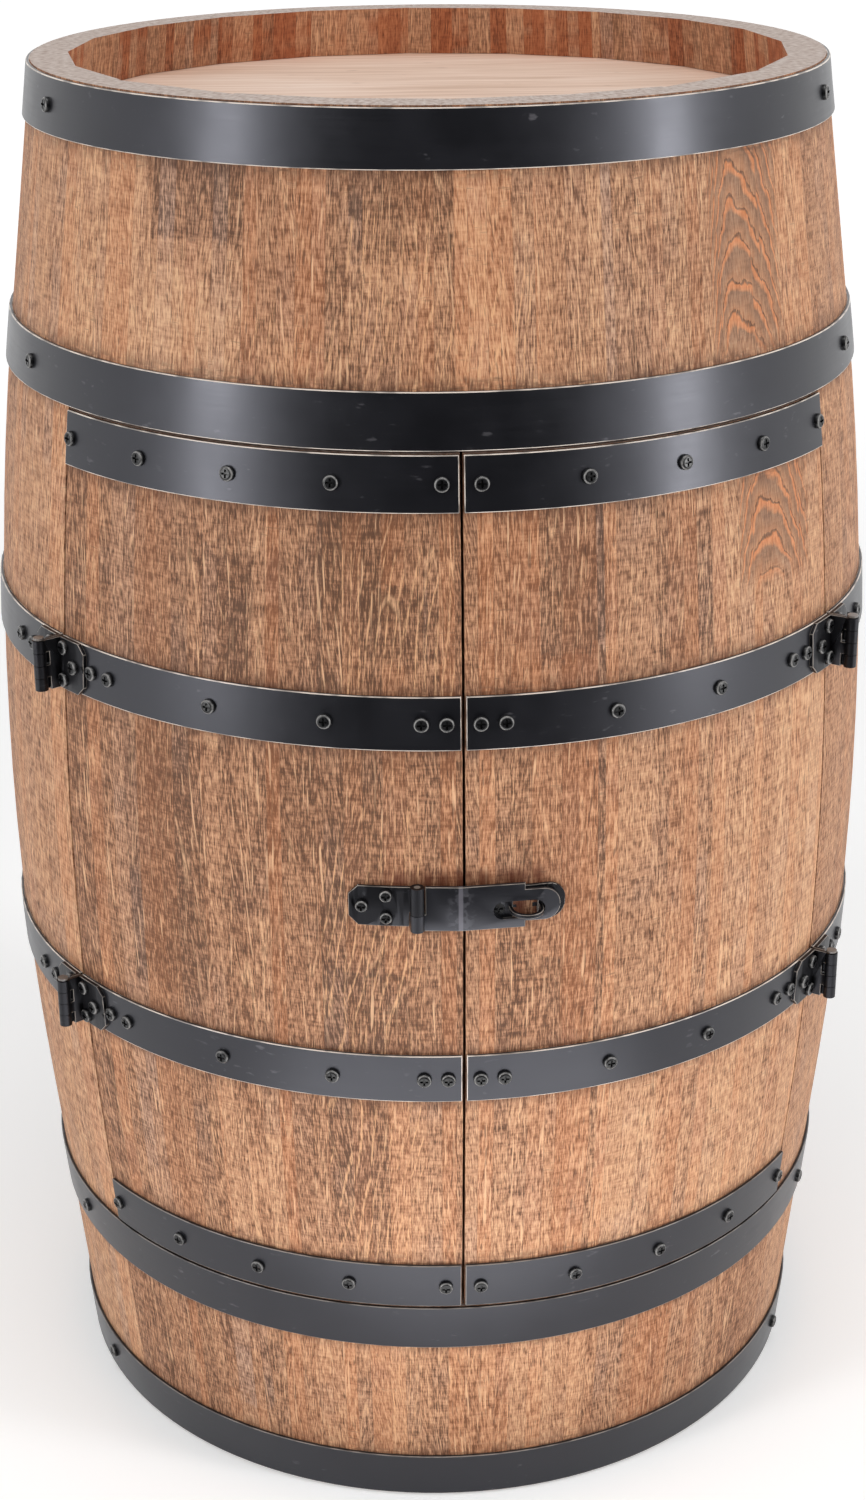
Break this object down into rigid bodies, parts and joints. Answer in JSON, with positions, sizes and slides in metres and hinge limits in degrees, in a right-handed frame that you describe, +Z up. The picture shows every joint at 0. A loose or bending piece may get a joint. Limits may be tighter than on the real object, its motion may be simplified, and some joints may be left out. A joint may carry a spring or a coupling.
{
  "type": "barrel bar cabinet",
  "caption": "Upright wooden barrel with iron hoops, opened at the front by two hinged doors held by a hasp, with a shelf inside and a recessed top.",
  "frame": {"origin": "on the floor, on the barrel's axis", "axes": "+Z up along the barrel's axis, -Y out of the front between the doors, +X to the right for someone facing the doors"},
  "size_m": [0.5107, 0.525, 0.8],
  "materials": {
    "stained_stave": "rough-sawn oak with a warm brown stain and a thin satin lacquer",
    "head_board": "planed board with a pale pinkish-tan stain",
    "inside_board": "planed board with a light brown stain",
    "hoop_iron": "black satin paint on strip iron, rubbed on the edges",
    "black_fitting": "black satin paint on pressed sheet steel",
    "black_screw": "black oxide, glossy",
    "pin_steel": "blackened steel"
  },
  "bodies": {
    "root": {"bottom_head": "head_board", "carcass_screws": "black_screw", "carcass_stave_01": "stained_stave", "carcass_stave_02": "stained_stave", "carcass_stave_03": "stained_stave", "carcass_stave_04": "stained_stave", "carcass_stave_05": "stained_stave", "carcass_stave_06": "stained_stave", "carcass_stave_07": "stained_stave", "carcass_stave_08": "stained_stave", "carcass_stave_09": "stained_stave", "carcass_stave_10": "stained_stave", "carcass_stave_11": "stained_stave", "carcass_stave_12": "stained_stave", "carcass_stave_13": "stained_stave", "carcass_stave_14": "stained_stave", "foot_hoop": "hoop_iron", "hinge_pins": "pin_steel", "left_lower_hinge_frame_leaf": "black_fitting", "left_upper_hinge_frame_leaf": "black_fitting", "lintel_staves": "stained_stave", "lower_bilge_hoop": "hoop_iron", "lower_quarter_hoop": "hoop_iron", "right_lower_hinge_frame_leaf": "black_fitting", "right_upper_hinge_frame_leaf": "black_fitting", "shelf": "inside_board", "shelf_cleats": "inside_board", "sill_staves": "stained_stave", "top_head": "head_board", "top_hoop": "hoop_iron", "upper_bilge_hoop": "hoop_iron", "upper_quarter_hoop": "hoop_iron"},
    "left_door": {"hasp_pin": "pin_steel", "hasp_plate": "black_fitting", "hasp_plate_screws": "black_screw", "left_door_foot_strip": "hoop_iron", "left_door_head_strip": "hoop_iron", "left_door_inner_stave": "stained_stave", "left_door_lower_strip": "hoop_iron", "left_door_middle_stave": "stained_stave", "left_door_outer_stave": "stained_stave", "left_door_screws": "black_screw", "left_door_upper_strip": "hoop_iron", "left_lower_hinge_door_leaf": "black_fitting", "left_upper_hinge_door_leaf": "black_fitting"},
    "right_door": {"right_door_foot_strip": "hoop_iron", "right_door_head_strip": "hoop_iron", "right_door_inner_stave": "stained_stave", "right_door_lower_strip": "hoop_iron", "right_door_middle_stave": "stained_stave", "right_door_outer_stave": "stained_stave", "right_door_screws": "black_screw", "right_door_upper_strip": "hoop_iron", "right_lower_hinge_door_leaf": "black_fitting", "right_upper_hinge_door_leaf": "black_fitting", "staple": "black_fitting", "staple_screws": "black_screw"},
    "hasp_strap": {"hasp_strap": "black_fitting"}
  },
  "joints": [
    {"name": "left_door_hinge", "type": "hinge", "parent": "root", "child": "left_door", "pos_m": [-0.21957, -0.15192, 0], "axis": [0, 0, -1], "range_deg": [0, 165]},
    {"name": "right_door_hinge", "type": "hinge", "parent": "root", "child": "right_door", "pos_m": [0.21957, -0.15192, 0], "axis": [0, 0, 1], "range_deg": [0, 165]},
    {"name": "hasp_hinge", "type": "hinge", "parent": "left_door", "child": "hasp_strap", "pos_m": [-0.02462, -0.25803, 0.4005], "axis": [0, 0, -1], "range_deg": [0, 165]}
  ]
}
